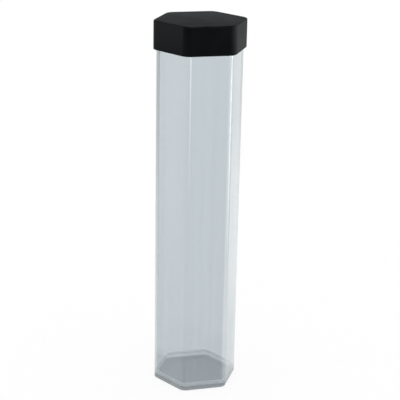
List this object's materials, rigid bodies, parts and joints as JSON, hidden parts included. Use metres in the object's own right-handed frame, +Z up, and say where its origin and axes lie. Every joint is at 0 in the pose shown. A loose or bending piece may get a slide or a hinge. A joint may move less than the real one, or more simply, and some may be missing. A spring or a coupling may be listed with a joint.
{
  "type": "playmat tube",
  "caption": "Clear hexagonal storage tube for a rolled playmat, with a plugged-in clear base and a black slip-over cap.",
  "frame": {"origin": "middle of the base's underside, on the surface that the tube stands on", "axes": "+Z up along the tube towards the cap, +X through a corner of the hexagon, -Y out of a flat, the front"},
  "size_m": [0.0906, 0.0812, 0.37],
  "materials": {
    "clear_tube": "clear, polished",
    "clear_base": "clear, moulded",
    "black_cap": "fine matte texture"
  },
  "bodies": {
    "tube_body": {"tube": "clear_tube", "base_plug": "clear_base"},
    "cap_body": {"cap": "black_cap"}
  },
  "joints": [
    {"name": "cap_lift", "type": "slide", "parent": "tube_body", "child": "cap_body", "axis": [0, 0, 1], "range_m": [0, 0.1]}
  ]
}
